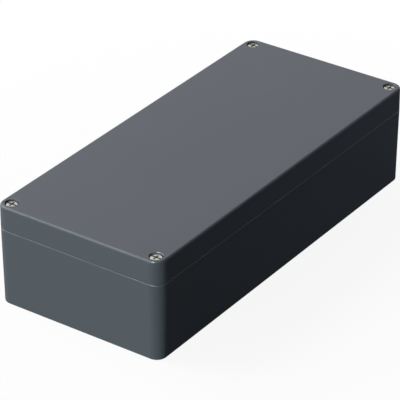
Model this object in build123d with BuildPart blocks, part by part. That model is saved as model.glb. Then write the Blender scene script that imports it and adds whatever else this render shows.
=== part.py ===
from build123d import *
from math import radians, tan
import os

os.makedirs("parts", exist_ok=True)

# A die cast aluminium wall box: a deep base, a screwed lid with a cord seal, captive lid
# screws and an earth terminal in each casting. Millimetres, X across, Y along, Z up from
# the underside, with the origin at the middle of the underside.

# Outside of the closed box
box_width = 160.0
box_length = 360.0
box_height = 90.0
lid_height = 21.3
corner_radius = 10.0
base_draft = 0.75
lid_draft = 0.25
lid_top_radius = 2.2
lid_rim_radius = 0.6
base_rim_radius = 0.9
underside_radius = 1.0

# Walls, floor and ceiling
rim_wall = 5.0
floor_thickness = 4.0
ceiling_thickness = 3.5
cavity_draft = 1.0
cavity_corner_radius = 5.0
cavity_floor_radius = 1.5

# Seal: a tongue on the base presses a cord that lies in a groove of the lid
tongue_setback = 0.5
tongue_width = 2.0
tongue_height = 2.0
tongue_edge_chamfer = 0.4
groove_side_gap = 0.6
groove_depth = 5.0
groove_lip = 2.0
cord_side_gap = 0.1
cord_seat_gap = 0.1
cord_edge_radius = 0.8

# Wall fixing: a channel beside each lid screw, with a hole through the floor
fixing_side_inset = 25.0
fixing_end_inset = 10.0
fixing_channel_diameter = 11.0
fixing_hole_diameter = 7.0
fixing_floor = 6.0
fixing_web = 4.0
fixing_pocket_depth = 13.0
pocket_draft = 1.5

# Captive lid screws, M6 with a cheese head
screw_inset = 9.6
head_diameter = 10.0
head_height = 3.9
head_edge_radius = 0.7
head_sink = 1.2
head_side_gap = 0.6
thread_diameter = 6.0
thread_engagement = 8.0
thread_tip_chamfer = 0.8
neck_diameter = 4.8
neck_hole_gap = 0.3
tapped_hole_gap = 0.075
tapped_hole_spare = 4.0
hole_mouth_chamfer = 0.5
slot_width = 1.6
slot_depth = 1.5
cross_length = 7.0
socket_diameter = 3.6
socket_tip_diameter = 1.0
socket_depth = 2.4
recess_edge_chamfer = 0.3

# Slit ring that keeps each lid screw in the lid
ring_thickness = 1.5
ring_width = 2.0
ring_slit = 1.2
ring_bore_gap = 0.1
ring_pocket_gap = 0.3
ring_lift = 0.2

# Floor bosses for a mounting plate or a circuit board
boss_side_inset = 30.0
boss_end_inset = 50.0
boss_diameter = 9.0
boss_height = 8.0
boss_core_diameter = 3.3
boss_core_depth = 9.0
boss_draft = 1.0

# Earth terminals, M5, one in the base and one under the lid
earth_end_inset = 32.0
base_earth_boss_height = 12.0
lid_earth_boss_height = 8.0
earth_boss_diameter = 9.0
earth_thread_diameter = 5.0
earth_thread_depth = 8.0
earth_hole_spare = 1.0
earth_hole_gap = 0.05
earth_head_diameter = 8.5
earth_head_height = 3.3
earth_slot_width = 1.2
earth_slot_depth = 1.6
clamp_width = 12.0
clamp_thickness = 1.2
clamp_lip = 2.0
clamp_bend_radius = 0.9
clamp_boss_gap = 0.3
clamp_hole_gap = 0.25
washer_width = 2.0
washer_thickness = 1.2
washer_slit = 0.8
washer_slit_angle = 20.0

# Heights and places that follow from the sizes above
parting_height = box_height - lid_height
mouth_width = box_width - 2 * rim_wall
mouth_length = box_length - 2 * rim_wall
ceiling_height = box_height - ceiling_thickness
fixing_spacing_x = box_width - 2 * fixing_side_inset
fixing_spacing_y = box_length - 2 * fixing_end_inset
channel_reach = fixing_channel_diameter / 2 + fixing_web
column_x = mouth_width / 2 - fixing_spacing_x / 2 + channel_reach
column_y = mouth_length / 2 - fixing_spacing_y / 2 + channel_reach
screw_spacing_x = box_width - 2 * screw_inset
screw_spacing_y = box_length - 2 * screw_inset
screw_corners = ((-1, -1), (1, -1), (1, 1), (-1, 1))
head_top = box_height - head_sink
head_seat = head_top - head_height
recess_diameter = head_diameter + 2 * head_side_gap
thread_top = parting_height + ring_lift
thread_tip = parting_height - thread_engagement
ring_bore = neck_diameter + 2 * ring_bore_gap
ring_diameter = ring_bore + 2 * ring_width
ring_pocket_diameter = ring_diameter + 2 * ring_pocket_gap
ring_pocket_depth = ring_lift + ring_thickness + thread_engagement + ring_pocket_gap
groove_outer = tongue_setback + tongue_width + groove_side_gap
groove_inner = tongue_setback - groove_side_gap
recess_height = ceiling_height - parting_height
recess_inset = recess_height * tan(radians(cavity_draft))
boss_spacing_x = box_width - 2 * boss_side_inset
boss_spacing_y = box_length / 2 - boss_end_inset
base_earth_y = earth_end_inset - box_length / 2
lid_earth_y = box_length / 2 - earth_end_inset


# Mouth of the base, stepped inwards round the column in each corner
with BuildSketch() as mouth:
    Rectangle(mouth_width, mouth_length)
    with GridLocations(mouth_width - column_x, mouth_length - column_y, 2, 2):
        Rectangle(column_x, column_y, mode=Mode.SUBTRACT)
    fillet(mouth.vertices(), cavity_corner_radius)


# Base casting
with BuildPart() as base_housing:
    with BuildSketch(Plane.XY.offset(parting_height)):
        RectangleRounded(box_width, box_length, corner_radius)
    extrude(amount=-parting_height, taper=base_draft)
    rim_face = base_housing.faces().sort_by(Axis.Z)[-1]
    fillet(rim_face.outer_wire().edges(), base_rim_radius)
    under_face = base_housing.faces().sort_by(Axis.Z)[0]
    fillet(under_face.outer_wire().edges(), underside_radius)

    with BuildSketch(Plane.XY.offset(parting_height)):
        add(mouth.sketch)
    extrude(amount=floor_thickness - parting_height, taper=cavity_draft, mode=Mode.SUBTRACT)
    floor_face = base_housing.faces().filter_by(Axis.Z).group_by(Axis.Z)[1].sort_by(SortBy.AREA)[-1]
    fillet(floor_face.outer_wire().edges(), cavity_floor_radius)

    with BuildSketch(Plane.XY.offset(parting_height)):
        offset(mouth.sketch, amount=tongue_setback + tongue_width, mode=Mode.ADD)
        offset(mouth.sketch, amount=tongue_setback, mode=Mode.SUBTRACT)
    extrude(amount=tongue_height)
    tongue_face = base_housing.faces().sort_by(Axis.Z)[-1]
    chamfer(tongue_face.edges(), tongue_edge_chamfer)

    with BuildSketch(Plane.XY.offset(floor_thickness)):
        with GridLocations(boss_spacing_x, boss_spacing_y, 2, 3):
            Circle(boss_diameter / 2)
    extrude(amount=boss_height, taper=boss_draft)
    with Locations((0, 0, floor_thickness + boss_height)):
        with GridLocations(boss_spacing_x, boss_spacing_y, 2, 3):
            Hole(boss_core_diameter / 2, depth=boss_core_depth)

    with BuildSketch(Plane((0, base_earth_y, floor_thickness))):
        Circle(earth_boss_diameter / 2)
    extrude(amount=base_earth_boss_height, taper=boss_draft)
    with Locations((0, base_earth_y, floor_thickness + base_earth_boss_height)):
        Hole(earth_thread_diameter / 2 + earth_hole_gap, depth=earth_thread_depth + earth_hole_spare)

    with Locations((0, 0, parting_height)):
        with GridLocations(screw_spacing_x, screw_spacing_y, 2, 2):
            CounterSinkHole(
                radius=thread_diameter / 2 + tapped_hole_gap,
                counter_sink_radius=thread_diameter / 2 + tapped_hole_gap + hole_mouth_chamfer,
                depth=thread_engagement + tapped_hole_spare,
                counter_sink_angle=90,
            )
        with GridLocations(fixing_spacing_x, fixing_spacing_y, 2, 2):
            CounterBoreHole(
                radius=fixing_hole_diameter / 2,
                counter_bore_radius=fixing_channel_diameter / 2,
                counter_bore_depth=parting_height - fixing_floor,
                depth=parting_height,
            )


# Lid casting
with BuildPart() as lid_cover:
    with BuildSketch(Plane.XY.offset(parting_height)):
        RectangleRounded(box_width, box_length, corner_radius)
    extrude(amount=lid_height, taper=lid_draft)
    top_face = lid_cover.faces().sort_by(Axis.Z)[-1]
    fillet(top_face.outer_wire().edges(), lid_top_radius)
    lower_face = lid_cover.faces().sort_by(Axis.Z)[0]
    fillet(lower_face.outer_wire().edges(), lid_rim_radius)

    with BuildSketch(Plane.XY.offset(ceiling_height)):
        offset(mouth.sketch, amount=groove_inner - groove_lip - recess_inset, mode=Mode.ADD)
    extrude(amount=-recess_height, taper=-cavity_draft, mode=Mode.SUBTRACT)

    with BuildSketch(Plane.XY.offset(parting_height)):
        offset(mouth.sketch, amount=groove_outer, mode=Mode.ADD)
        offset(mouth.sketch, amount=groove_inner, mode=Mode.SUBTRACT)
    extrude(amount=groove_depth, mode=Mode.SUBTRACT)

    with BuildSketch(Plane.XY.offset(parting_height)):
        with GridLocations(fixing_spacing_x, fixing_spacing_y, 2, 2):
            Circle(fixing_channel_diameter / 2)
    extrude(amount=fixing_pocket_depth, taper=pocket_draft, mode=Mode.SUBTRACT)

    with BuildSketch(Plane.XY.offset(parting_height)):
        with GridLocations(screw_spacing_x, screw_spacing_y, 2, 2):
            Circle(ring_pocket_diameter / 2)
    extrude(amount=ring_pocket_depth, mode=Mode.SUBTRACT)
    with Locations((0, 0, box_height)):
        with GridLocations(screw_spacing_x, screw_spacing_y, 2, 2):
            CounterBoreHole(
                radius=thread_diameter / 2 + neck_hole_gap,
                counter_bore_radius=recess_diameter / 2,
                counter_bore_depth=box_height - head_seat,
                depth=lid_height,
            )
    top_face = lid_cover.faces().sort_by(Axis.Z)[-1]
    chamfer(top_face.inner_wires().edges(), recess_edge_chamfer)

    with BuildSketch(Plane((0, lid_earth_y, ceiling_height))):
        Circle(earth_boss_diameter / 2)
    extrude(amount=-lid_earth_boss_height, taper=boss_draft)
    lid_boss_face = Plane((0, lid_earth_y, ceiling_height - lid_earth_boss_height), z_dir=(0, 0, -1))
    with Locations(lid_boss_face):
        Hole(earth_thread_diameter / 2 + earth_hole_gap, depth=earth_thread_depth + earth_hole_spare)


# Sealing cord, as it lies pressed in the lid's groove
with BuildPart() as lid_gasket:
    with BuildSketch(Plane.XY.offset(parting_height + tongue_height + cord_seat_gap)):
        offset(mouth.sketch, amount=groove_outer - cord_side_gap, mode=Mode.ADD)
        offset(mouth.sketch, amount=groove_inner + cord_side_gap, mode=Mode.SUBTRACT)
    extrude(amount=groove_depth - tongue_height - cord_seat_gap)
    cord_face = lid_gasket.faces().sort_by(Axis.Z)[0]
    fillet(cord_face.edges(), cord_edge_radius)


def make_lid_screw(x, y):
    """Return a captive lid screw that stands at x, y, with its neck, thread and cross slot."""
    upright = Plane((x, y, 0), x_dir=(1, 0, 0), z_dir=(0, -1, 0))
    with BuildPart() as screw:
        with BuildSketch(upright):
            with BuildLine():
                Polyline(
                    (0, thread_tip),
                    (thread_diameter / 2 - thread_tip_chamfer, thread_tip),
                    (thread_diameter / 2, thread_tip + thread_tip_chamfer),
                    (thread_diameter / 2, thread_top),
                    (neck_diameter / 2, thread_top),
                    (neck_diameter / 2, head_seat),
                    (head_diameter / 2, head_seat),
                    (head_diameter / 2, head_top),
                    (0, head_top),
                    close=True,
                )
            make_face()
        revolve(axis=Axis((x, y, 0), (0, 0, 1)))
        rim = screw.edges().filter_by(GeomType.CIRCLE).group_by(Axis.Z)[-1]
        fillet(rim, head_edge_radius)
        with BuildSketch(Plane((x, y, head_top))):
            Rectangle(2 * head_diameter, slot_width)
        extrude(amount=-slot_depth, mode=Mode.SUBTRACT)
        with BuildSketch(Plane((x, y, head_top))):
            Rectangle(slot_width, cross_length)
        extrude(amount=-slot_depth, mode=Mode.SUBTRACT)
        with Locations((x, y, head_top - socket_depth / 2)):
            Cone(socket_tip_diameter / 2, socket_diameter / 2, socket_depth, mode=Mode.SUBTRACT)
    return screw.part


def make_retainer(x, y):
    """Return the slit ring that rests on the thread's shoulder of the screw at x, y."""
    with BuildPart() as ring:
        with BuildSketch(Plane((x, y, thread_top))):
            Circle(ring_diameter / 2)
            Circle(ring_bore / 2, mode=Mode.SUBTRACT)
            with Locations((ring_diameter / 4, 0)):
                Rectangle(ring_diameter / 2, ring_slit, mode=Mode.SUBTRACT)
        extrude(amount=ring_thickness)
    return ring.part


def make_clamp(seat):
    """Return the square wire clamp of an earth terminal, with two lips beside its boss."""
    lip_span = earth_boss_diameter + 2 * clamp_boss_gap
    with BuildPart() as clamp:
        with BuildSketch(seat):
            Rectangle(lip_span + 2 * clamp_thickness, clamp_width)
        extrude(amount=clamp_thickness)
        with BuildSketch(seat):
            with GridLocations(lip_span + clamp_thickness, 0, 2, 1):
                Rectangle(clamp_thickness, clamp_width)
        extrude(amount=-clamp_lip)
        outer_faces = clamp.faces().filter_by(Axis.X).sort_by(Axis.X)
        bends = ShapeList()
        for face in (outer_faces[0], outer_faces[-1]):
            along = face.edges().filter_by(Axis.Y)
            bends.append(along.sort_by(lambda edge: (edge.center() - seat.origin).dot(seat.z_dir))[-1])
        fillet(bends, clamp_bend_radius)
        with Locations(seat.offset(clamp_thickness)):
            Hole(earth_thread_diameter / 2 + clamp_hole_gap)
    return clamp.part


def make_spring_washer(seat):
    """Return a split spring washer, pressed flat, with its slit cut at a slant."""
    inner = earth_thread_diameter / 2 + earth_hole_gap
    middle = seat.offset(washer_thickness / 2)
    slit_plane = Plane(middle.origin, x_dir=middle.y_dir, z_dir=middle.x_dir)
    with BuildPart() as washer:
        with BuildSketch(seat):
            Circle(inner + washer_width)
            Circle(inner, mode=Mode.SUBTRACT)
        extrude(amount=washer_thickness)
        with BuildSketch(slit_plane):
            Rectangle(washer_slit, 4 * washer_thickness, rotation=washer_slit_angle)
        extrude(amount=inner + 2 * washer_width, mode=Mode.SUBTRACT)
    return washer.part


def make_earth_screw(seat):
    """Return a slotted cheese head screw whose head bears on the plane it is given."""
    reach = earth_thread_depth + clamp_thickness + washer_thickness
    with BuildPart() as screw:
        with BuildSketch(seat):
            Circle(earth_head_diameter / 2)
        extrude(amount=earth_head_height)
        fillet(screw.edges().filter_by(GeomType.CIRCLE).sort_by(Axis(seat.origin, seat.z_dir))[-1],
               head_edge_radius)
        with BuildSketch(seat):
            Circle(earth_thread_diameter / 2)
        extrude(amount=-reach)
        with BuildSketch(seat.offset(earth_head_height)):
            Rectangle(2 * earth_head_diameter, earth_slot_width)
        extrude(amount=-earth_slot_depth, mode=Mode.SUBTRACT)
    return screw.part


def save(part, name):
    """Label a finished piece and write it to its own file."""
    part.label = name
    export_step(part, f"parts/{name}.step")


save(base_housing.part, "base_housing")
save(lid_cover.part, "lid_cover")
save(lid_gasket.part, "lid_gasket")

for number, (side_x, side_y) in enumerate(screw_corners, start=1):
    screw_x = side_x * screw_spacing_x / 2
    screw_y = side_y * screw_spacing_y / 2
    save(make_lid_screw(screw_x, screw_y), f"lid_screw_{number}")
    save(make_retainer(screw_x, screw_y), f"screw_retainer_{number}")

base_seat = Plane((0, base_earth_y, floor_thickness + base_earth_boss_height))
for place, seat_plane in (("base", base_seat), ("lid", lid_boss_face)):
    save(make_clamp(seat_plane), f"{place}_earth_clamp")
    save(make_spring_washer(seat_plane.offset(clamp_thickness)), f"{place}_earth_spring_washer")
    save(make_earth_screw(seat_plane.offset(clamp_thickness + washer_thickness)), f"{place}_earth_screw")
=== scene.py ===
"""Die cast wall box: finishes, threaded screws, retaining rings, earth terminals and studio."""

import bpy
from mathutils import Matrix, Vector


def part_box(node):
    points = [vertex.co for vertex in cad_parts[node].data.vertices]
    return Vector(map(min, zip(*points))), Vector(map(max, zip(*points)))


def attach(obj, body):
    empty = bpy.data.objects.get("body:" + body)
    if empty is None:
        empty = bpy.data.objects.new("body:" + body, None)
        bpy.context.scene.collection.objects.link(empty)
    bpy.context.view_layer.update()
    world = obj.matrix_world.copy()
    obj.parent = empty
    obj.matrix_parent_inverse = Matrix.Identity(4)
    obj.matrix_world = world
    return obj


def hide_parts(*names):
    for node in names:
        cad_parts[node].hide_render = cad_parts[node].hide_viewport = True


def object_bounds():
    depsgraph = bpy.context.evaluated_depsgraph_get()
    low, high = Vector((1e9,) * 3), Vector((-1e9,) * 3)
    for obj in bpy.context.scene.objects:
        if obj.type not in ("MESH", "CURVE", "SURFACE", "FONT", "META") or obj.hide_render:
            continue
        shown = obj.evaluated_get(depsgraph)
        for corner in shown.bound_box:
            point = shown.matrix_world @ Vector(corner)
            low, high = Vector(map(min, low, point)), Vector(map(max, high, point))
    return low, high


bl_info = {
    "name": "Die Cast Wall Box",
    "version": (1, 0, 0),
    "blender": (4, 5, 0),
    "location": "3D View > Sidebar > Wall Box",
    "description": "Dresses the packed wall box with its finishes and small hardware, "
                   "and sets its studio",
    "category": "Object",
}

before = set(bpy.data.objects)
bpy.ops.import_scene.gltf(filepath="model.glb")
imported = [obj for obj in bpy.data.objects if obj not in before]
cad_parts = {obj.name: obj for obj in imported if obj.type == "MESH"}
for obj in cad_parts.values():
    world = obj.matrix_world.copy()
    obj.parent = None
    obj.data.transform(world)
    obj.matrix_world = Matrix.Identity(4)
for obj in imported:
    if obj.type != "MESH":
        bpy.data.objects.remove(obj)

import math

import bmesh
import bpy
from bpy.props import FloatProperty, FloatVectorProperty, IntProperty, PointerProperty
from bpy.types import Operator, Panel, PropertyGroup
from mathutils import Matrix, Vector

CAD_LOW, CAD_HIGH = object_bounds()
MM = 0.001
CORNERS = (1, 2, 3, 4)
PLACES = ("base", "lid")
MERGE_DISTANCE = 0.002 * MM

FIRST_LOW, FIRST_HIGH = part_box("lid_screw_1")
SCREW_X = abs(FIRST_LOW.x + FIRST_HIGH.x) / 2
SCREW_Y = abs(FIRST_LOW.y + FIRST_HIGH.y) / 2
EARTH_LOW, EARTH_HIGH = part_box("lid_earth_screw")
EARTH_Y = abs(EARTH_LOW.y + EARTH_HIGH.y) / 2
RING_LOW, RING_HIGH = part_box("screw_retainer_1")
JOINT_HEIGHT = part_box("lid_cover")[0].z

WHITE = (1.0, 1.0, 1.0)
# Name, place and aim from the middle of the box, width, cone of a spot, colour, and whether the
# lamp reaches matt and glossy surfaces
LAMPS = (
    ("key", (-1.75, -0.46, 1.47), (0, 0, 0), 1.6, None, WHITE, True, True),
    ("front", (0.12, -2.94, 0.50), (0, 0, 0), 1.2, None, (0.855, 1.0, 0.963), True, False),
    ("back", (0.0, 2.94, 0.60), (0, 0, 0), 1.2, None, WHITE, True, False),
    ("side", (0.45, 0.75, 0.18), (0, 0, 0), 0.3, None, (0.78, 0.88, 1.0), True, False),
    ("corner_glint", (-0.05, -1.36, 1.72), (0.075, -0.175, 0.04), 0.2, math.radians(7),
     WHITE, False, True),
    ("edge_glint", (-1.09, -1.25, 1.44), (0, 0, 0), 0.4, None, WHITE, False, True),
)


# Settings that a user would change

class CoatSettings(PropertyGroup):
    """Powder coat on both castings."""

    colour: FloatVectorProperty(
        name="Coat colour", description="Colour of the powder coat", subtype="COLOR",
        size=3, min=0.0, max=1.0, default=(0.118, 0.127, 0.148))
    roughness: FloatProperty(
        name="Coat roughness", description="Middle roughness of the coat", subtype="FACTOR",
        min=0.0, max=1.0, default=0.32)
    # Width of the painted highlight band below the joint and of the painted shade band above it
    painted_band_width: FloatProperty(
        name="Rim width", description="Width of the lighter and of the darker band at the joint",
        unit="LENGTH", default=0.5 * MM)
    peel_size: FloatProperty(
        name="Peel size", description="Width of one ripple of the coat's orange peel",
        unit="LENGTH", default=1.6 * MM)
    peel_depth: FloatProperty(
        name="Peel depth", description="Height of the orange peel",
        unit="LENGTH", default=0.006 * MM)


class ScrewSettings(PropertyGroup):
    """Captive lid screws and their retaining rings."""

    colour: FloatVectorProperty(
        name="Steel colour", description="Colour of the stainless steel", subtype="COLOR",
        size=3, min=0.0, max=1.0, default=(0.74, 0.75, 0.67))
    pitch: FloatProperty(
        name="Thread pitch", description="Height of one turn of the thread",
        unit="LENGTH", default=1.0 * MM)
    thread_radius: FloatProperty(
        name="Thread radius", description="Outer radius of the thread",
        unit="LENGTH", default=2.98 * MM)
    thread_length: FloatProperty(
        name="Thread length", description="Length of the thread below the retaining ring",
        unit="LENGTH", default=8.2 * MM)
    neck_radius: FloatProperty(
        name="Neck radius", description="Radius of the plain neck", unit="LENGTH", default=2.4 * MM)
    head_height: FloatProperty(
        name="Head height", description="Height of the cheese head",
        unit="LENGTH", default=3.9 * MM)
    head_rounding: FloatProperty(
        name="Head rounding", description="Radius of the head's upper edge",
        unit="LENGTH", default=0.7 * MM)
    slot_width: FloatProperty(
        name="Slot width", description="Width of the driver slot", unit="LENGTH", default=1.6 * MM)
    slot_depth: FloatProperty(
        name="Slot depth", description="Depth of the driver slot", unit="LENGTH", default=1.5 * MM)
    cross_length: FloatProperty(
        name="Cross length", description="Length of the short arm across the slot", unit="LENGTH",
        default=7.0 * MM)
    cross_depth: FloatProperty(
        name="Cross depth", description="Depth of the cross at its middle",
        unit="LENGTH", default=2.4 * MM)
    ring_slit: FloatProperty(
        name="Ring slit", description="Gap between the ends of the retaining ring", unit="LENGTH",
        default=1.2 * MM)
    ring_rounding: FloatProperty(
        name="Ring rounding", description="Radius on the edges of the retaining ring",
        unit="LENGTH", default=0.25 * MM)
    steps: IntProperty(
        name="Steps", description="Facets round one turn of a screw or ring",
        min=12, max=128, default=48)


class EarthSettings(PropertyGroup):
    """Earth terminals in the base and under the lid."""

    pitch: FloatProperty(
        name="Thread pitch", description="Height of one turn of the thread",
        unit="LENGTH", default=0.8 * MM)
    thread_radius: FloatProperty(
        name="Thread radius", description="Outer radius of the thread",
        unit="LENGTH", default=2.49 * MM)
    head_height: FloatProperty(
        name="Head height", description="Height of the cheese head",
        unit="LENGTH", default=3.3 * MM)
    head_rounding: FloatProperty(
        name="Head rounding", description="Radius of the head's upper edge",
        unit="LENGTH", default=0.6 * MM)
    slot_width: FloatProperty(
        name="Slot width", description="Width of the driver slot", unit="LENGTH", default=1.2 * MM)
    slot_depth: FloatProperty(
        name="Slot depth", description="Depth of the driver slot", unit="LENGTH", default=1.6 * MM)
    washer_slit: FloatProperty(
        name="Washer slit", description="Gap between the ends of the spring washer", unit="LENGTH",
        default=0.8 * MM)
    washer_slant: FloatProperty(
        name="Washer slant", description="Slant of the cut through the spring washer",
        subtype="ANGLE", default=math.radians(20))


class StudioSettings(PropertyGroup):
    """Camera, lamps and floor."""

    azimuth: FloatProperty(
        name="Azimuth", description="Turn of the camera round the box", subtype="ANGLE",
        default=math.radians(34.8546))
    elevation: FloatProperty(
        name="Elevation", description="Height of the camera above the horizon", subtype="ANGLE",
        default=math.radians(29.862))
    distance: FloatProperty(
        name="Distance", description="From the middle of the box to the camera",
        unit="LENGTH", default=2.1417)
    lens: FloatProperty(name="Lens", description="Focal length of the camera", default=231.58)
    aim_right: FloatProperty(
        name="Aim right", description="How far right of the view's middle the box stands",
        unit="LENGTH", default=6.78 * MM)
    aim_up: FloatProperty(
        name="Aim up", description="How far above the view's middle the box stands", unit="LENGTH",
        default=8.65 * MM)
    key_energy: FloatProperty(
        name="Key energy", description="Power of the softbox high on the left",
        unit="POWER", default=60.0)
    front_energy: FloatProperty(
        name="Front energy", description="Power of the low softbox in front",
        unit="POWER", default=58.0)
    back_energy: FloatProperty(
        name="Back energy", description="Power of the low softbox behind",
        unit="POWER", default=24.0)
    side_energy: FloatProperty(
        name="Side energy", description="Power of the weak lamp by the right side", unit="POWER",
        default=0.9)
    corner_glint_energy: FloatProperty(
        name="Corner glint energy", description="Power of the lamp that the front corner mirrors",
        unit="POWER", default=680.0)
    edge_glint_energy: FloatProperty(
        name="Edge glint energy", description="Power of the lamp that the front edges mirror",
        unit="POWER", default=3.5)
    ambient: FloatProperty(
        name="Ambient", description="Strength of the even light from all round", default=0.05)
    reflected: FloatProperty(
        name="Reflected", description="Strength of the surroundings in reflections", default=0.72)
    shaded: FloatProperty(
        name="Shaded", description="Strength of the surroundings on the right in reflections",
        default=0.1)
    floor_size: FloatProperty(
        name="Floor size", description="Width of the floor", unit="LENGTH", default=12.0)
    shadow_reach: FloatProperty(
        name="Shadow reach", description="Distance at which the floor has faded to plain white",
        unit="LENGTH", default=0.5)
    hole_inset: FloatProperty(
        name="Hole inset", description="From the box's widest outline in to the hole in the floor",
        unit="LENGTH", default=2.1 * MM)
    hole_corner: FloatProperty(
        name="Hole corner", description="Corner radius of the floor's hole",
        unit="LENGTH", default=8.2 * MM)


# Meshes

SMOOTH_ANGLE = math.radians(35)
RING_EDGE_ANGLE = math.radians(40)
# Depth of a thread, start of its flank and both ends of its crest, as shares of its pitch
THREAD_DEPTH = 0.6134
FLANK_START, CREST_START, CREST_END = 0.25, 0.5625, 0.6875
# Turns that a thread has too many until its ends are cut, and turns that a neck reaches into it
SPARE_TURNS = 2
NECK_TURNS = 2
# Chamfer at a screw's tip: a share of the thread's depth, and a length more
CHAMFER_SHARE, CHAMFER_EXTRA = 0.8, 0.2 * MM
# Radius of a head's top as a share of its seat's, and the seat's rounding of the top's
HEAD_TAPER, SEAT_ROUNDING = 0.985, 0.25
# Length of a slot's cutter in radii of the head, and how its lower face is drawn in
SLOT_REACH = 4
SLOT_TAPER, ARM_TAPER, CROSS_TAPER = (1, 0.92), (0.92, 0.8), (0.3, 0.3)
# Width of the cross's deep middle, in widths of the slot
CROSS_WIDTH = 1.25
# From a head's outline in to the widest place of the painted shade in its slots
SLOT_SHADE_MARGIN = 0.1 * MM
RING_PLAY = 0.1 * MM
WASHER_PLAY = 0.06 * MM
WASHER_ROUNDING = 0.12 * MM
# How far an earth screw's thread reaches into its head, and its neck as a share of its radius
EARTH_OVERLAP = 0.1 * MM
EARTH_NECK = 0.7


def finish_piece(bm, name, body, material, nodes):
    """Turn a bmesh into a finished piece that rides on a body and stands for some CAD nodes."""
    mesh = bpy.data.meshes.new(name)
    bm.to_mesh(mesh)
    bm.free()
    mesh.shade_smooth()
    mesh.set_sharp_from_angle(angle=SMOOTH_ANGLE)
    mesh.materials.append(material)
    piece = bpy.data.objects.new(name, mesh)
    bpy.context.scene.collection.objects.link(piece)
    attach(piece, body)
    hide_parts(*nodes)


def clean(bm):
    """Merge doubled vertices and point every face outwards."""
    bmesh.ops.remove_doubles(bm, verts=bm.verts, dist=MERGE_DISTANCE)
    bmesh.ops.recalc_face_normals(bm, faces=bm.faces)


def spin_profile(profile, steps):
    """Return a closed solid of revolution about Z from (radius, height) points."""
    bm = bmesh.new()
    verts = [bm.verts.new((radius, 0, height)) for radius, height in profile]
    edges = [bm.edges.new(pair) for pair in zip(verts, verts[1:])]
    bmesh.ops.spin(bm, geom=verts + edges, cent=(0, 0, 0), axis=(0, 0, 1), dvec=(0, 0, 0),
                   angle=math.tau, steps=steps, use_merge=True, use_duplicate=False)
    clean(bm)
    return bm


def round_loop(bm, radius, height, width, segments):
    """Round the circular edge of a spun solid at one radius and height."""
    def on_loop(vert):
        return (abs(vert.co.z - height) < MERGE_DISTANCE
                and abs(math.hypot(vert.co.x, vert.co.y) - radius) < MERGE_DISTANCE)
    edges = [edge for edge in bm.edges if all(on_loop(vert) for vert in edge.verts)]
    bmesh.ops.bevel(bm, geom=edges, offset=width, offset_type="OFFSET", affect="EDGES",
                    segments=segments, profile=0.5, material=-1)


def block(size, centre, lower_scale=(1, 1)):
    """Return a box whose lower face can be drawn in, as a cutter for slots."""
    bm = bmesh.new()
    bmesh.ops.create_cube(bm, size=1)
    bmesh.ops.scale(bm, vec=size, verts=bm.verts)
    lower = [vert for vert in bm.verts if vert.co.z < 0]
    bmesh.ops.scale(bm, vec=(lower_scale[0], lower_scale[1], 1), verts=lower)
    bmesh.ops.translate(bm, vec=centre, verts=bm.verts)
    bmesh.ops.recalc_face_normals(bm, faces=bm.faces)
    return bm


def combine(first, second, operation):
    """Join or cut one closed bmesh with another, and return the result as a new bmesh."""
    helpers = []
    for bm in (first, second):
        mesh = bpy.data.meshes.new("helper")
        bm.to_mesh(mesh)
        bm.free()
        helper = bpy.data.objects.new("helper", mesh)
        bpy.context.scene.collection.objects.link(helper)
        helpers.append(helper)
    kept, tool = helpers
    modifier = kept.modifiers.new("combine", "BOOLEAN")
    modifier.operation = operation
    modifier.solver = "EXACT"
    modifier.object = tool
    shaped = kept.evaluated_get(bpy.context.evaluated_depsgraph_get())
    result = bmesh.new()
    result.from_mesh(shaped.to_mesh())
    shaped.to_mesh_clear()
    for helper in helpers:
        mesh = helper.data
        bpy.data.objects.remove(helper)
        bpy.data.meshes.remove(mesh)
    clean(result)
    return result


def thread_solid(radius, pitch, length, tip_height, steps):
    """Return a closed screw thread about Z that starts at its chamfered tip."""
    depth = THREAD_DEPTH * pitch
    root = radius - depth
    shape = ((root, 0), (root, FLANK_START), (radius, CREST_START), (radius, CREST_END), (root, 1))
    turns = math.ceil(length / pitch) + SPARE_TURNS
    start = tip_height - pitch
    bm = bmesh.new()
    verts = [bm.verts.new((r, 0, start + share * pitch)) for r, share in shape]
    edges = [bm.edges.new(pair) for pair in zip(verts, verts[1:])]
    bmesh.ops.spin(bm, geom=verts + edges, cent=(0, 0, 0), axis=(0, 0, 1),
                   dvec=(0, 0, pitch / steps), angle=math.tau * turns, steps=steps * turns,
                   use_merge=False, use_duplicate=False)
    bmesh.ops.remove_doubles(bm, verts=bm.verts, dist=MERGE_DISTANCE)
    for height, up in ((tip_height, -1), (tip_height + length, 1)):
        bmesh.ops.bisect_plane(bm, geom=bm.verts[:] + bm.edges[:] + bm.faces[:],
                               dist=MERGE_DISTANCE / 2, plane_co=(0, 0, height),
                               plane_no=(0, 0, up), clear_outer=True)
    chamfer = CHAMFER_SHARE * depth + CHAMFER_EXTRA
    for vert in bm.verts:
        allowed = radius - chamfer + (vert.co.z - tip_height)
        reach = math.hypot(vert.co.x, vert.co.y)
        if reach > allowed:
            vert.co.x *= allowed / reach
            vert.co.y *= allowed / reach
    open_edges = [edge for edge in bm.edges if edge.is_boundary]
    bmesh.ops.holes_fill(bm, edges=open_edges, sides=0)
    clean(bm)
    return bm


def cheese_head(radius, height, rounding, seat, neck_radius, neck_end, steps):
    """Return a cheese head on a plain neck, with its bearing face at the seat height."""
    top = seat + height
    profile = ((0, neck_end), (neck_radius, neck_end), (neck_radius, seat), (radius, seat),
               (radius * HEAD_TAPER, top), (0, top))
    bm = spin_profile(profile, steps)
    round_loop(bm, radius * HEAD_TAPER, top, rounding, segments=6)
    round_loop(bm, radius, seat, rounding * SEAT_ROUNDING, segments=2)
    return bm


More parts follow.
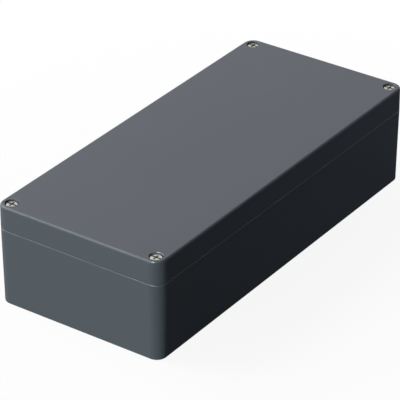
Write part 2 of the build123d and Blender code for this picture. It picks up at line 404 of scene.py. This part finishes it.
def split_ring(inner, outer, low, high, slit, slant, rounding, steps):
    """Return a flat ring about Z whose slit lies on +X, cut square or at a slant."""
    middle = (inner + outer) / 2
    half_gap = slit / 2 / middle
    bm = bmesh.new()
    corners = ((inner, low), (outer, low), (outer, high), (inner, high))
    verts = [bm.verts.new((radius, 0, height)) for radius, height in corners]
    face = bm.faces.new(verts)
    bmesh.ops.rotate(bm, cent=(0, 0, 0), matrix=Matrix.Rotation(half_gap, 3, "Z"), verts=bm.verts)
    bmesh.ops.spin(bm, geom=[*verts, *face.edges, face], cent=(0, 0, 0), axis=(0, 0, 1),
                   dvec=(0, 0, 0), angle=math.tau - 2 * half_gap, steps=steps,
                   use_merge=False, use_duplicate=False)
    clean(bm)
    for vert in bm.verts:
        turn = math.tan(slant) * (vert.co.z - (low + high) / 2) / middle
        vert.co.xy = Matrix.Rotation(turn, 2) @ vert.co.xy
    sharp = [edge for edge in bm.edges if edge.calc_face_angle(0) > RING_EDGE_ANGLE]
    bmesh.ops.bevel(bm, geom=sharp, offset=rounding, offset_type="OFFSET", affect="EDGES",
                    segments=2, profile=0.5, material=-1)
    return bm


def mark_slots(bm, top, depth, radius):
    """Mark the walls and floors of a head's slots, so that the material can darken them with
    painted shade.
    """
    film = bm.faces.layers.float.new("film")
    for face in bm.faces:
        centre = face.calc_center_median()
        inside = math.hypot(centre.x, centre.y) < radius - SLOT_SHADE_MARGIN
        sunk = top - depth - MERGE_DISTANCE < centre.z < top - MERGE_DISTANCE
        faces_out = face.normal.xy.dot(centre.xy) > MERGE_DISTANCE
        face[film] = float(inside and sunk and not faces_out)


def copy_to_screw(bm, number):
    """Return a copy of a bmesh moved to the axis of one of the lid screws."""
    low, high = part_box(f"lid_screw_{number}")
    centre = (low + high) / 2
    moved = bm.copy()
    bmesh.ops.transform(moved, matrix=Matrix.Translation((centre.x, centre.y, 0)),
                        verts=moved.verts)
    return moved


# Shader building blocks

# Values between which most of a noise lies
NOISE_LOW, NOISE_HIGH = 0.3, 0.7


def set_inputs(node, **values):
    """Set a node's own sockets by name; underscores stand for spaces."""
    for label, value in values.items():
        node.inputs[label.replace("_", " ")].default_value = value


def make_group(name, inputs, outputs):
    """Return a new shader node group with its input and output nodes."""
    group = bpy.data.node_groups.new(name, "ShaderNodeTree")
    for label, value in inputs:
        socket = group.interface.new_socket(
            name=label, in_out="INPUT", socket_type="NodeSocketFloat")
        socket.default_value = value
    for label in outputs:
        group.interface.new_socket(name=label, in_out="OUTPUT", socket_type="NodeSocketFloat")
    return group, group.nodes.new("NodeGroupInput"), group.nodes.new("NodeGroupOutput")


def math_node(tree, operation, first, second=None):
    """Add a math node, link or set its inputs, and return its output."""
    node = tree.nodes.new("ShaderNodeMath")
    node.operation = operation
    for index, value in enumerate((first, second)):
        if value is None:
            continue
        if isinstance(value, bpy.types.NodeSocket):
            tree.links.new(value, node.inputs[index])
        else:
            node.inputs[index].default_value = value
    return node.outputs[0]


def grain_group():
    """Noise on object coordinates, spread between a low and a high value."""
    name = "grain"
    if name in bpy.data.node_groups:
        return bpy.data.node_groups[name]
    inputs = (("Scale", 100.0), ("Detail", 2.0), ("Low", 0.0), ("High", 1.0))
    group, enter, leave = make_group(name, inputs, ("Value",))
    coordinates = group.nodes.new("ShaderNodeTexCoord")
    noise = group.nodes.new("ShaderNodeTexNoise")
    spread = group.nodes.new("ShaderNodeMapRange")
    set_inputs(spread, From_Min=NOISE_LOW, From_Max=NOISE_HIGH)
    group.links.new(coordinates.outputs["Object"], noise.inputs["Vector"])
    group.links.new(enter.outputs["Scale"], noise.inputs["Scale"])
    group.links.new(enter.outputs["Detail"], noise.inputs["Detail"])
    group.links.new(noise.outputs["Fac"], spread.inputs["Value"])
    group.links.new(enter.outputs["Low"], spread.inputs["To Min"])
    group.links.new(enter.outputs["High"], spread.inputs["To Max"])
    group.links.new(spread.outputs["Result"], leave.inputs["Value"])
    return group


def turning_group():
    """Fine lathe rings about upright axes that stand at plus and minus X and Y."""
    name = "turning marks"
    if name in bpy.data.node_groups:
        return bpy.data.node_groups[name]
    inputs = (("Axis X", 0.0), ("Axis Y", 0.0), ("Rings per metre", 6000.0))
    group, enter, leave = make_group(name, inputs, ("Height",))
    coordinates = group.nodes.new("ShaderNodeTexCoord")
    split = group.nodes.new("ShaderNodeSeparateXYZ")
    group.links.new(coordinates.outputs["Object"], split.inputs[0])
    away = []
    for axis in ("X", "Y"):
        folded = math_node(group, "ABSOLUTE", split.outputs[axis])
        offset = math_node(group, "SUBTRACT", folded, enter.outputs[f"Axis {axis}"])
        away.append(math_node(group, "POWER", math_node(group, "ABSOLUTE", offset), 2.0))
    radius = math_node(group, "SQRT", math_node(group, "ADD", *away))
    turns = math_node(group, "MULTIPLY", radius, enter.outputs["Rings per metre"])
    wave = math_node(group, "SINE", math_node(group, "MULTIPLY", turns, math.tau))
    group.links.new(wave, leave.inputs["Height"])
    return group


def use_group(tree, group, **values):
    """Place a node group in a material with its own values."""
    node = tree.nodes.new("ShaderNodeGroup")
    node.node_tree = group
    set_inputs(node, **values)
    return node


def new_material(name, **constants):
    """Return a material with one principled shader, its tree and that shader."""
    material = bpy.data.materials.new(name)
    material.use_nodes = True
    tree = material.node_tree
    shader = tree.nodes["Principled BSDF"]
    set_inputs(shader, **constants)
    return material, tree, shader


def mix_colours(tree, factor, first, second):
    """Blend two colours or colour sockets by a factor socket, and return the result's socket."""
    mix = tree.nodes.new("ShaderNodeMix")
    mix.data_type = "RGBA"
    tree.links.new(factor, mix.inputs["Factor"])
    for label, value in (("A", first), ("B", second)):
        socket = next(s for s in mix.inputs if s.name == label and s.type == "RGBA")
        if isinstance(value, bpy.types.NodeSocket):
            tree.links.new(value, socket)
        else:
            socket.default_value = (*value, 1)
    return next(s for s in mix.outputs if s.type == "RGBA")


def add_bump(tree, shader, height, distance, under=None):
    """Raise the surface by a height socket; a second bump lies on top of the one it is given."""
    bump = tree.nodes.new("ShaderNodeBump")
    set_inputs(bump, Strength=1.0, Distance=distance)
    tree.links.new(height, bump.inputs["Height"])
    if under is not None:
        tree.links.new(under.outputs["Normal"], bump.inputs["Normal"])
    tree.links.new(bump.outputs["Normal"], shader.inputs["Normal"])
    return bump


def scaled(colour, factor):
    """Return a colour made lighter or darker by a factor."""
    return tuple(channel * factor for channel in colour)


# Materials

# Darkest and lightest drift of the coat, and its painted highlight below and painted shade above
# the joint
COAT_DRIFT = (0.985, 1.015)
BASE_RIM_PAINTED_HIGHLIGHT, LID_RIM_PAINTED_SHADE = 1.6, 0.5
COAT_GLOSS_SPREAD = 0.01
# Ripples of the coat's tooth in one of its orange peel, and its share of the peel's height
TOOTH_RIPPLES, TOOTH_HEIGHT = 4, 0.3
STEEL_PATCH_TONE = 0.95
# Colour of the painted shade in the screws' slots, how much of the metal it hides, and its
# roughness
SLOT_SHADE_COLOUR = (0.075, 0.063, 0.042)
SLOT_SHADE_COVER, SLOT_SHADE_ROUGHNESS = 0.85, 0.6
TURNING_HEIGHT = 0.002 * MM
# Both ends of the drift in colour of the other finishes
ZINC_COLOURS = ((0.56, 0.58, 0.60), (0.68, 0.69, 0.68))
BRASS_COLOURS = ((0.42, 0.30, 0.12), (0.60, 0.46, 0.20))
RUBBER_COLOURS = ((0.010, 0.010, 0.011), (0.026, 0.026, 0.027))
POLYAMIDE_COLOURS = ((0.58, 0.57, 0.50), (0.68, 0.67, 0.60))


def painted_joint_band(tree, low, high):
    """Mask the coat between two heights above the joint of base and lid, where light and shade are
    painted, and return its socket.
    """
    place = tree.nodes.new("ShaderNodeSeparateXYZ")
    tree.links.new(tree.nodes.new("ShaderNodeTexCoord").outputs["Object"], place.inputs[0])
    over = math_node(tree, "GREATER_THAN", place.outputs["Z"], JOINT_HEIGHT + low)
    under = math_node(tree, "LESS_THAN", place.outputs["Z"], JOINT_HEIGHT + high)
    return math_node(tree, "MULTIPLY", over, under)


def powder_coat(settings):
    """Semi-gloss coat: slow drift in tone, a painted highlight below the joint and painted shade
    above it, orange peel and tooth.
    """
    material, tree, shader = new_material("grey powder coat", Specular_IOR_Level=0.22)
    drift = use_group(tree, grain_group(), Scale=14.0, Detail=3.0)
    darkest, lightest = (scaled(settings.colour, tone) for tone in COAT_DRIFT)
    colour = mix_colours(tree, drift.outputs["Value"], darkest, lightest)
    # Painted highlight: the base's rim just below the joint is made lighter; painted shade: the
    # lid's edge just above it is made darker
    for low, high, tone in (
        (-settings.painted_band_width, -MERGE_DISTANCE, BASE_RIM_PAINTED_HIGHLIGHT),
        (MERGE_DISTANCE, settings.painted_band_width, LID_RIM_PAINTED_SHADE),
    ):
        band = painted_joint_band(tree, low, high)
        colour = mix_colours(tree, band, colour, scaled(settings.colour, tone))
    tree.links.new(colour, shader.inputs["Base Color"])
    gloss = use_group(tree, grain_group(), Scale=45.0, Detail=2.0,
                      Low=settings.roughness - COAT_GLOSS_SPREAD,
                      High=settings.roughness + COAT_GLOSS_SPREAD)
    tree.links.new(gloss.outputs["Value"], shader.inputs["Roughness"])
    peel = use_group(tree, grain_group(), Scale=1 / settings.peel_size, Detail=1.0)
    lower = add_bump(tree, shader, peel.outputs["Value"], settings.peel_depth)
    tooth = use_group(tree, grain_group(), Scale=TOOTH_RIPPLES / settings.peel_size, Detail=2.0)
    add_bump(tree, shader, tooth.outputs["Value"], settings.peel_depth * TOOTH_HEIGHT, under=lower)
    return material


def turned_steel(colour):
    """Turned stainless steel with lathe rings, uneven tone and dull brown painted shade in its
    slots.
    """
    material, tree, shader = new_material("turned stainless")
    marks = use_group(tree, turning_group(), Axis_X=SCREW_X, Axis_Y=SCREW_Y,
                      Rings_per_metre=5000.0)
    film = tree.nodes.new("ShaderNodeAttribute")
    film.attribute_name = "film"
    patches = use_group(tree, grain_group(), Scale=900.0, Detail=3.0)
    unshaded_colour = mix_colours(tree, patches.outputs["Value"],
                               scaled(colour, STEEL_PATCH_TONE), colour)
    # Painted shade: the marked slot faces turn dark brown, less metallic and rougher
    slot_shaded_colour = mix_colours(tree, film.outputs["Fac"], unshaded_colour, SLOT_SHADE_COLOUR)
    tree.links.new(slot_shaded_colour, shader.inputs["Base Color"])
    covered = math_node(tree, "MULTIPLY", film.outputs["Fac"], SLOT_SHADE_COVER)
    tree.links.new(math_node(tree, "SUBTRACT", 1.0, covered), shader.inputs["Metallic"])
    gloss = use_group(tree, grain_group(), Scale=2500.0, Detail=2.0, Low=0.24, High=0.31)
    dulled = math_node(tree, "MULTIPLY", film.outputs["Fac"], SLOT_SHADE_ROUGHNESS)
    roughness = math_node(tree, "MAXIMUM", gloss.outputs["Value"], dulled)
    tree.links.new(roughness, shader.inputs["Roughness"])
    add_bump(tree, shader, marks.outputs["Height"], TURNING_HEIGHT)
    return material


def zinc_steel():
    """Bright zinc plating with a faint blue cast."""
    material, tree, shader = new_material("zinc plated steel", Metallic=1.0)
    bloom = use_group(tree, grain_group(), Scale=600.0, Detail=3.0)
    colour = mix_colours(tree, bloom.outputs["Value"], *ZINC_COLOURS)
    tree.links.new(colour, shader.inputs["Base Color"])
    gloss = use_group(tree, grain_group(), Scale=1800.0, Detail=2.0, Low=0.28, High=0.40)
    tree.links.new(gloss.outputs["Value"], shader.inputs["Roughness"])
    marks = use_group(tree, turning_group(), Axis_X=0.0, Axis_Y=EARTH_Y, Rings_per_metre=4000.0)
    add_bump(tree, shader, marks.outputs["Height"], TURNING_HEIGHT)
    return material


def pressed_brass():
    """Pressed brass with a slightly dulled skin."""
    material, tree, shader = new_material("pressed brass", Metallic=1.0)
    dulling = use_group(tree, grain_group(), Scale=350.0, Detail=4.0)
    colour = mix_colours(tree, dulling.outputs["Value"], *BRASS_COLOURS)
    tree.links.new(colour, shader.inputs["Base Color"])
    gloss = use_group(tree, grain_group(), Scale=1200.0, Detail=2.0, Low=0.30, High=0.45)
    tree.links.new(gloss.outputs["Value"], shader.inputs["Roughness"])
    rolled = use_group(tree, grain_group(), Scale=3000.0, Detail=2.0)
    add_bump(tree, shader, rolled.outputs["Value"], distance=0.003 * MM)
    return material


def seal_rubber():
    """Matt black chloroprene with a dusting of talc and an open skin."""
    material, tree, shader = new_material("seal rubber", Specular_IOR_Level=0.35)
    talc = use_group(tree, grain_group(), Scale=420.0, Detail=5.0)
    colour = mix_colours(tree, talc.outputs["Value"], *RUBBER_COLOURS)
    tree.links.new(colour, shader.inputs["Base Color"])
    gloss = use_group(tree, grain_group(), Scale=900.0, Detail=3.0, Low=0.62, High=0.82)
    tree.links.new(gloss.outputs["Value"], shader.inputs["Roughness"])
    skin = use_group(tree, grain_group(), Scale=2200.0, Detail=3.0)
    add_bump(tree, shader, skin.outputs["Value"], distance=0.02 * MM)
    return material


def natural_polyamide():
    """Milky natural polyamide with a moulded skin."""
    material, tree, shader = new_material("natural polyamide", Subsurface_Weight=0.12)
    clouding = use_group(tree, grain_group(), Scale=260.0, Detail=2.0)
    colour = mix_colours(tree, clouding.outputs["Value"], *POLYAMIDE_COLOURS)
    tree.links.new(colour, shader.inputs["Base Color"])
    gloss = use_group(tree, grain_group(), Scale=1500.0, Detail=2.0, Low=0.34, High=0.46)
    tree.links.new(gloss.outputs["Value"], shader.inputs["Roughness"])
    moulded = use_group(tree, grain_group(), Scale=2600.0, Detail=2.0)
    add_bump(tree, shader, moulded.outputs["Value"], distance=0.004 * MM)
    return material


def dress_node(node, material):
    """Give a CAD node that keeps its own shape its material."""
    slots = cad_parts[node].data.materials
    slots.clear()
    slots.append(material)


# Operators

class WALLBOX_OT_castings(Operator):
    """Coat the base and the lid"""

    bl_idname = "wallbox.castings"
    bl_label = "Coat castings"

    def execute(self, context):
        coat = powder_coat(context.scene.wall_box_coat)
        for node in ("base_housing", "lid_cover"):
            dress_node(node, coat)
        return {"FINISHED"}


class WALLBOX_OT_lid_screws(Operator):
    """Make the four captive lid screws with their threads and cross slots"""

    bl_idname = "wallbox.lid_screws"
    bl_label = "Make lid screws"

    def execute(self, context):
        sizes = context.scene.wall_box_screws
        tip, top = FIRST_LOW.z, FIRST_HIGH.z
        radius = (FIRST_HIGH.x - FIRST_LOW.x) / 2
        seat = top - sizes.head_height
        neck_end = tip + sizes.thread_length - NECK_TURNS * sizes.pitch
        shank = thread_solid(sizes.thread_radius, sizes.pitch, sizes.thread_length, tip,
                             sizes.steps)
        head = cheese_head(radius, sizes.head_height, sizes.head_rounding, seat,
                           sizes.neck_radius, neck_end, sizes.steps * 2)
        slot_height = 2 * sizes.slot_depth
        cross_width = CROSS_WIDTH * sizes.slot_width
        for size, taper in (
            ((SLOT_REACH * radius, sizes.slot_width, slot_height), SLOT_TAPER),
            ((sizes.slot_width, sizes.cross_length, slot_height), ARM_TAPER),
            ((cross_width, cross_width, 2 * sizes.cross_depth), CROSS_TAPER),
        ):
            head = combine(head, block(size, (0, 0, top), taper), "DIFFERENCE")
        screw = combine(shank, head, "UNION")
        mark_slots(screw, top, sizes.cross_depth, radius)
        steel = turned_steel(sizes.colour)
        for number in CORNERS:
            node = f"lid_screw_{number}"
            finish_piece(copy_to_screw(screw, number), f"captive_screw_{number}", node,
                         steel, [node])
        screw.free()
        return {"FINISHED"}


class WALLBOX_OT_retaining_rings(Operator):
    """Make the slit rings that keep the screws in the lid"""

    bl_idname = "wallbox.retaining_rings"
    bl_label = "Make retaining rings"

    def execute(self, context):
        sizes = context.scene.wall_box_screws
        outer = (RING_HIGH.y - RING_LOW.y) / 2
        inner = sizes.neck_radius + RING_PLAY
        ring = split_ring(inner, outer, RING_LOW.z, RING_HIGH.z, sizes.ring_slit, 0.0,
                          sizes.ring_rounding, sizes.steps)
        plastic = natural_polyamide()
        for number in CORNERS:
            node = f"screw_retainer_{number}"
            finish_piece(copy_to_screw(ring, number), f"retaining_ring_{number}", node,
                         plastic, [node])
        ring.free()
        return {"FINISHED"}


class WALLBOX_OT_seal(Operator):
    """Give the sealing cord its rubber"""

    bl_idname = "wallbox.seal"
    bl_label = "Dress seal"

    def execute(self, context):
        dress_node("lid_gasket", seal_rubber())
        return {"FINISHED"}


class WALLBOX_OT_earth_terminals(Operator):
    """Make the earth screws and spring washers, and dress their clamps"""

    bl_idname = "wallbox.earth_terminals"
    bl_label = "Make earth terminals"

    def execute(self, context):
        sizes = context.scene.wall_box_earth
        steps = context.scene.wall_box_screws.steps
        brass = pressed_brass()
        zinc = zinc_steel()
        for place in PLACES:
            screw_node = f"{place}_earth_screw"
            washer_node = f"{place}_earth_spring_washer"
            clamp = f"{place}_earth_clamp"
            low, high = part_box(screw_node)
            washer_low, washer_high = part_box(washer_node)
            length = high.z - low.z
            radius = (high.x - low.x) / 2
            shank_length = length - sizes.head_height
            centre_y = (low.y + high.y) / 2
            if place == "base":
                stand = Matrix.Translation((0, centre_y, low.z))
                slit_turn = 0
            else:
                upended = Matrix.Rotation(math.pi, 4, "X")
                stand = Matrix.Translation((0, centre_y, high.z)) @ upended
                slit_turn = math.pi
            shank = thread_solid(sizes.thread_radius, sizes.pitch, shank_length + EARTH_OVERLAP,
                                 0.0, steps)
            head = cheese_head(radius, sizes.head_height, sizes.head_rounding, shank_length,
                               sizes.thread_radius * EARTH_NECK,
                               shank_length - NECK_TURNS * sizes.pitch, steps * 2)
            slot_size = (SLOT_REACH * radius, sizes.slot_width, 2 * sizes.slot_depth)
            head = combine(head, block(slot_size, (0, 0, length)), "DIFFERENCE")
            screw = combine(shank, head, "UNION")
            bmesh.ops.transform(screw, matrix=stand, verts=screw.verts)
            finish_piece(screw, f"earth_screw_{place}", screw_node, zinc,
                         [screw_node])
            thickness = washer_high.z - washer_low.z
            outer = (washer_high.y - washer_low.y) / 2
            washer = split_ring(sizes.thread_radius + WASHER_PLAY, outer, 0, thickness,
                                sizes.washer_slit, -sizes.washer_slant, WASHER_ROUNDING, steps)
            washer_stand = (Matrix.Translation((0, centre_y, washer_low.z))
                            @ Matrix.Rotation(slit_turn, 4, "Z"))
            bmesh.ops.transform(washer, matrix=washer_stand, verts=washer.verts)
            finish_piece(washer, f"spring_washer_{place}", clamp, zinc,
                         [washer_node])
            dress_node(clamp, brass)
        return {"FINISHED"}


# Studio

# X of a direction at which the mirrored surroundings start to turn dim, and end to
DIM_START, DIM_END = -0.2, 0.4
FLOOR_PALE = (0.9, 0.9, 0.9, 1)
FLOOR_DULL = (0.03, 0.03, 0.03, 1)
# Distance at which the floor starts to fade to plain white, and the share of shade up to there
FADE_START, SHADE_SHARE = 0.1, 0.1
# Millimetres, as the lens is
SENSOR_WIDTH = 36.0


def view_axes(azimuth, elevation):
    """Return the unit vectors towards the camera, to its right and up, for a view of the box."""
    level = math.cos(elevation)
    back = Vector((math.sin(azimuth) * level, -math.cos(azimuth) * level, math.sin(elevation)))
    right = Vector((math.cos(azimuth), math.sin(azimuth), 0))
    return back, right, back.cross(right)


def add_lamp(name, energy, place, aim, width, cone, colour):
    """Add a square softbox, or a soft round spot where a cone is given, turned towards a point."""
    lamp = bpy.data.lights.new(name, "SPOT" if cone else "AREA")
    if cone:
        lamp.spot_size = cone
        lamp.spot_blend = 1.0
        lamp.shadow_soft_size = width / 2
    else:
        lamp.shape = "SQUARE"
        lamp.size = width
    lamp.energy = energy
    lamp.color = colour
    holder = bpy.data.objects.new(name, lamp)
    holder.location = place
    holder.rotation_euler = (aim - place).to_track_quat("-Z", "Y").to_euler()
    holder.visible_camera = False
    bpy.context.scene.collection.objects.link(holder)
    return holder


def background_world(ambient, reflected, shaded):
    """White to the camera, pale in reflections but for a dim right side, and a low even light."""
    world = bpy.data.worlds.new("studio")
    world.use_nodes = True
    tree = world.node_tree
    surroundings = tree.nodes["Background"]
    set_inputs(surroundings, Color=(*WHITE, 1))
    direction = tree.nodes.new("ShaderNodeSeparateXYZ")
    tree.links.new(tree.nodes.new("ShaderNodeTexCoord").outputs["Generated"], direction.inputs[0])
    pale = tree.nodes.new("ShaderNodeMapRange")
    pale.interpolation_type = "SMOOTHSTEP"
    tree.links.new(direction.outputs["X"], pale.inputs["Value"])
    set_inputs(pale, From_Min=DIM_START, From_Max=DIM_END, To_Min=reflected, To_Max=shaded)
    path = tree.nodes.new("ShaderNodeLightPath")
    mirrored = math_node(tree, "MULTIPLY", path.outputs["Is Glossy Ray"], pale.outputs["Result"])
    strength = math_node(tree, "MAXIMUM", path.outputs["Is Camera Ray"], mirrored)
    strength = math_node(tree, "MAXIMUM", strength, ambient)
    tree.links.new(strength, surroundings.inputs["Strength"])
    bpy.context.scene.world = world


def floor_mesh(studio):
    """Return a flat floor with a hole just inside the box's foot, so that light gets below."""
    half = (CAD_HIGH - CAD_LOW) / 2 - Vector((studio.hole_inset, studio.hole_inset, 0))
    bm = bmesh.new()
    bmesh.ops.create_grid(bm, x_segments=1, y_segments=1, size=1)
    bmesh.ops.scale(bm, vec=(half.x, half.y, 1), verts=bm.verts)
    bmesh.ops.bevel(bm, geom=bm.verts[:], offset=studio.hole_corner, offset_type="OFFSET",
                    affect="VERTICES", segments=8, profile=0.5, material=-1)
    hole = bm.faces[:]
    grown = bmesh.ops.extrude_edge_only(bm, edges=bm.edges[:])["geom"]
    outer = [item for item in grown if isinstance(item, bmesh.types.BMVert)]
    reach = studio.floor_size / 2
    bmesh.ops.scale(bm, vec=(reach / half.x, reach / half.y, 1), verts=outer)
    bmesh.ops.delete(bm, geom=hole, context="FACES_ONLY")
    bmesh.ops.reverse_faces(bm, faces=[face for face in bm.faces if face.normal.z < 0])
    mesh = bpy.data.meshes.new("floor")
    bm.to_mesh(mesh)
    bm.free()
    return mesh


def mix_shaders(tree, factor, first, second):
    """Blend two shaders by a factor socket, and return the result's socket."""
    mix = tree.nodes.new("ShaderNodeMixShader")
    for index, socket in enumerate((factor, first, second)):
        tree.links.new(socket, mix.inputs[index])
    return mix.outputs[0]


def floor_material(shadow_reach):
    """Pale with a faint shadow to the camera, dull to every other ray, and clear from below."""
    material = bpy.data.materials.new("pale floor")
    material.use_nodes = True
    tree = material.node_tree
    tree.nodes.remove(tree.nodes["Principled BSDF"])
    glow = tree.nodes.new("ShaderNodeEmission")
    set_inputs(glow, Strength=1.0)
    pale = tree.nodes.new("ShaderNodeBsdfDiffuse")
    set_inputs(pale, Color=FLOOR_PALE)
    dull = tree.nodes.new("ShaderNodeBsdfDiffuse")
    set_inputs(dull, Color=FLOOR_DULL)
    clear = tree.nodes.new("ShaderNodeBsdfTransparent")
    distance = tree.nodes.new("ShaderNodeVectorMath")
    distance.operation = "LENGTH"
    tree.links.new(tree.nodes.new("ShaderNodeTexCoord").outputs["Object"], distance.inputs[0])
    fade = tree.nodes.new("ShaderNodeMapRange")
    fade.interpolation_type = "SMOOTHSTEP"
    set_inputs(fade, From_Min=FADE_START, From_Max=shadow_reach, To_Min=SHADE_SHARE, To_Max=0.0)
    tree.links.new(distance.outputs["Value"], fade.inputs["Value"])
    path = tree.nodes.new("ShaderNodeLightPath")
    geometry = tree.nodes.new("ShaderNodeNewGeometry")
    shown = mix_shaders(tree, fade.outputs["Result"], glow.outputs[0], pale.outputs[0])
    above = mix_shaders(tree, path.outputs["Is Camera Ray"], dull.outputs[0], shown)
    surface = mix_shaders(tree, geometry.outputs["Backfacing"], above, clear.outputs[0])
    tree.links.new(surface, tree.nodes["Material Output"].inputs["Surface"])
    return material


class WALLBOX_OT_studio(Operator):
    """Set the floor, the lamps and the camera"""

    bl_idname = "wallbox.studio"
    bl_label = "Set studio"

    def execute(self, context):
        studio = context.scene.wall_box_studio
        scene = context.scene
        middle = (CAD_LOW + CAD_HIGH) / 2

        floor = bpy.data.objects.new("floor", floor_mesh(studio))
        floor.data.materials.append(floor_material(studio.shadow_reach))
        scene.collection.objects.link(floor)

        back, right, up = view_axes(studio.azimuth, studio.elevation)
        camera = bpy.data.objects.new("camera", bpy.data.cameras.new("camera"))
        camera.data.lens = studio.lens
        camera.data.sensor_width = SENSOR_WIDTH
        camera.location = middle + back * studio.distance
        aim = middle - right * studio.aim_right - up * studio.aim_up
        camera.rotation_euler = (aim - camera.location).to_track_quat("-Z", "Y").to_euler()
        scene.collection.objects.link(camera)
        scene.camera = camera

        for name, place, aim, width, cone, colour, matt, glossy in LAMPS:
            lamp = add_lamp(name, getattr(studio, f"{name}_energy"), middle + Vector(place),
                            middle + Vector(aim), width, cone, colour)
            lamp.visible_diffuse = matt
            lamp.visible_glossy = glossy
        background_world(studio.ambient, studio.reflected, studio.shaded)
        scene.view_settings.view_transform = "Standard"
        return {"FINISHED"}


class WALLBOX_PT_panel(Panel):
    """Sidebar panel with the pieces and the settings"""

    bl_idname = "WALLBOX_PT_panel"
    bl_label = "Wall Box"
    bl_space_type = "VIEW_3D"
    bl_region_type = "UI"
    bl_category = "Wall Box"

    def draw(self, context):
        layout = self.layout
        for operator in PIECE_OPERATORS:
            layout.operator(operator.bl_idname)
        for settings in SETTINGS:
            group = getattr(context.scene, settings)
            box = layout.box()
            for name in group.__annotations__:
                box.prop(group, name)


SETTINGS = {
    "wall_box_coat": CoatSettings,
    "wall_box_screws": ScrewSettings,
    "wall_box_earth": EarthSettings,
    "wall_box_studio": StudioSettings,
}
PIECE_OPERATORS = (
    WALLBOX_OT_castings,
    WALLBOX_OT_lid_screws,
    WALLBOX_OT_retaining_rings,
    WALLBOX_OT_seal,
    WALLBOX_OT_earth_terminals,
    WALLBOX_OT_studio,
)
CLASSES = (*SETTINGS.values(), *PIECE_OPERATORS, WALLBOX_PT_panel)


def register():
    """Register the classes and attach the settings to the scene."""
    for item in CLASSES:
        bpy.utils.register_class(item)
    for name, item in SETTINGS.items():
        setattr(bpy.types.Scene, name, PointerProperty(type=item))


def unregister():
    """Remove the settings and the classes."""
    for name in SETTINGS:
        delattr(bpy.types.Scene, name)
    for item in reversed(CLASSES):
        bpy.utils.unregister_class(item)


def main():
    """Make every piece and the studio."""
    register()
    bpy.ops.wallbox.castings()
    bpy.ops.wallbox.lid_screws()
    bpy.ops.wallbox.retaining_rings()
    bpy.ops.wallbox.seal()
    bpy.ops.wallbox.earth_terminals()
    bpy.ops.wallbox.studio()


if __name__ == "__main__":
    main()
